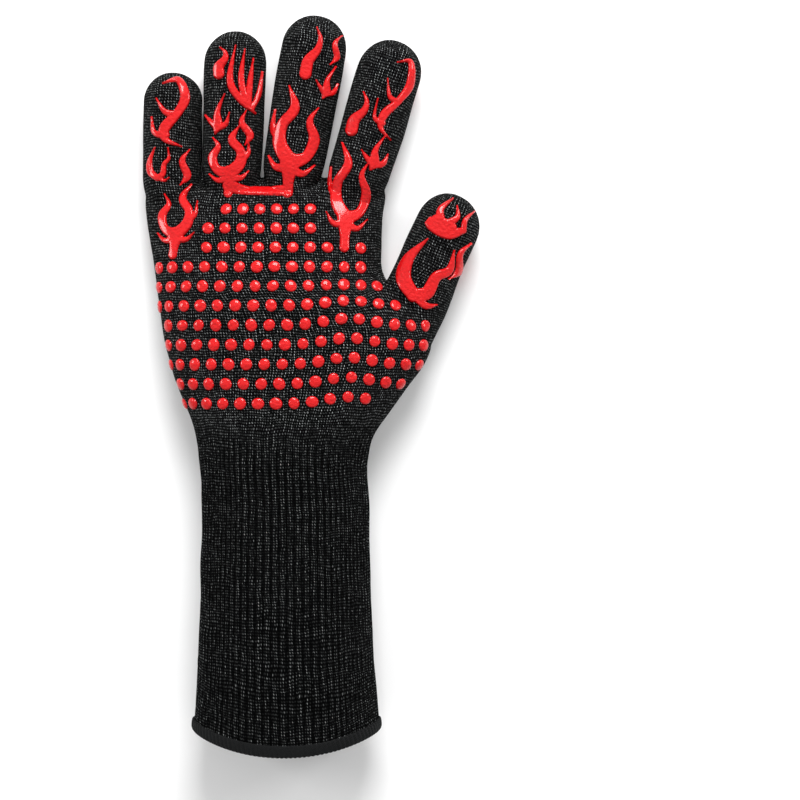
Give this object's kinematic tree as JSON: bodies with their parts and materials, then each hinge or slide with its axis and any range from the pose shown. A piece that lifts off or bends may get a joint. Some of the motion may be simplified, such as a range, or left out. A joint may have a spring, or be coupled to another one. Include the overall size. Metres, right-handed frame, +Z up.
{
  "type": "heat resistant glove",
  "caption": "Right-hand knitted heat resistant glove with a long cuff, a liner, silicone grip dots and flames, and folds at the wrist, knuckles, fingers and thumb.",
  "frame": {"origin": "centre of the base of the box that holds the glove, on the surface that its back lies on", "axes": "+Z up out of the palm, +Y from the cuff to the fingertips, +X to the thumb side"},
  "size_m": [0.1684, 0.3646, 0.0568],
  "materials": {
    "knit": "matt charcoal aramid knit",
    "liner": "soft matt cotton knit",
    "hem": "matt overlocked thread",
    "silicone": "glossy raised silicone print"
  },
  "bodies": {
    "cuff": {"cuff_knit": "knit", "cuff_liner": "liner", "hem_binding": "hem"},
    "hand": {"palm_knit": "knit", "palm_liner": "liner", "palm_dots": "silicone", "back_dots": "silicone"},
    "little_base": {"little_base_knit": "knit", "little_base_liner": "liner", "little_base_palm_flame": "silicone", "little_base_back_flame": "silicone"},
    "little_tip": {"little_tip_knit": "knit", "little_tip_liner": "liner", "little_tip_palm_flame": "silicone", "little_tip_back_flame": "silicone"},
    "ring_base": {"ring_base_knit": "knit", "ring_base_liner": "liner", "ring_base_palm_flame": "silicone", "ring_base_back_flame": "silicone"},
    "ring_tip": {"ring_tip_knit": "knit", "ring_tip_liner": "liner", "ring_tip_palm_flame": "silicone", "ring_tip_back_flame": "silicone"},
    "middle_base": {"middle_base_knit": "knit", "middle_base_liner": "liner", "middle_base_palm_flame": "silicone", "middle_base_back_flame": "silicone"},
    "middle_tip": {"middle_tip_knit": "knit", "middle_tip_liner": "liner", "middle_tip_palm_flame": "silicone", "middle_tip_back_flame": "silicone"},
    "index_base": {"index_base_knit": "knit", "index_base_liner": "liner", "index_base_palm_flame": "silicone", "index_base_back_flame": "silicone"},
    "index_tip": {"index_tip_knit": "knit", "index_tip_liner": "liner", "index_tip_palm_flame": "silicone", "index_tip_back_flame": "silicone"},
    "thumb_base": {"thumb_base_knit": "knit", "thumb_base_liner": "liner", "thumb_base_palm_flame": "silicone", "thumb_base_back_flame": "silicone"},
    "thumb_tip": {"thumb_tip_knit": "knit", "thumb_tip_liner": "liner", "thumb_tip_palm_flame": "silicone", "thumb_tip_back_flame": "silicone"}
  },
  "joints": [
    {"name": "wrist_fold", "type": "hinge", "parent": "cuff", "child": "hand", "pos_m": [-0.01338, -0.0423, 0.025], "axis": [1, 0, 0], "range_deg": [-30, 45]},
    {"name": "little_knuckle_fold", "type": "hinge", "parent": "hand", "child": "little_base", "pos_m": [-0.06958, 0.1007, 0.017], "axis": [1, 0, 0], "range_deg": [0, 70]},
    {"name": "little_middle_fold", "type": "hinge", "parent": "little_base", "child": "little_tip", "pos_m": [-0.0692, 0.1247, 0.017], "axis": [0.9999, -0.0156, 0], "range_deg": [0, 80]},
    {"name": "ring_knuckle_fold", "type": "hinge", "parent": "hand", "child": "ring_base", "pos_m": [-0.03978, 0.1057, 0.017], "axis": [1, 0, 0], "range_deg": [0, 70]},
    {"name": "ring_middle_fold", "type": "hinge", "parent": "ring_base", "child": "ring_tip", "pos_m": [-0.03873, 0.13668, 0.017], "axis": [0.9994, -0.0336, 0], "range_deg": [0, 80]},
    {"name": "middle_knuckle_fold", "type": "hinge", "parent": "hand", "child": "middle_base", "pos_m": [-0.00868, 0.1087, 0.017], "axis": [1, 0, 0], "range_deg": [0, 70]},
    {"name": "middle_middle_fold", "type": "hinge", "parent": "middle_base", "child": "middle_tip", "pos_m": [-0.00285, 0.14118, 0.017], "axis": [0.9843, -0.1766, 0], "range_deg": [0, 80]},
    {"name": "index_knuckle_fold", "type": "hinge", "parent": "hand", "child": "index_base", "pos_m": [0.02392, 0.1037, 0.017], "axis": [1, 0, 0], "range_deg": [0, 70]},
    {"name": "index_middle_fold", "type": "hinge", "parent": "index_base", "child": "index_tip", "pos_m": [0.03291, 0.13337, 0.017], "axis": [0.9571, -0.2898, 0], "range_deg": [0, 80]},
    {"name": "thumb_root_fold", "type": "hinge", "parent": "hand", "child": "thumb_base", "pos_m": [0.05092, 0.038, 0.02], "axis": [0.766, -0.6428, 0], "range_deg": [0, 50]},
    {"name": "thumb_middle_fold", "type": "hinge", "parent": "thumb_base", "child": "thumb_tip", "pos_m": [0.06182, 0.063, 0.02], "axis": [0.9149, -0.4038, 0], "range_deg": [0, 70]}
  ]
}
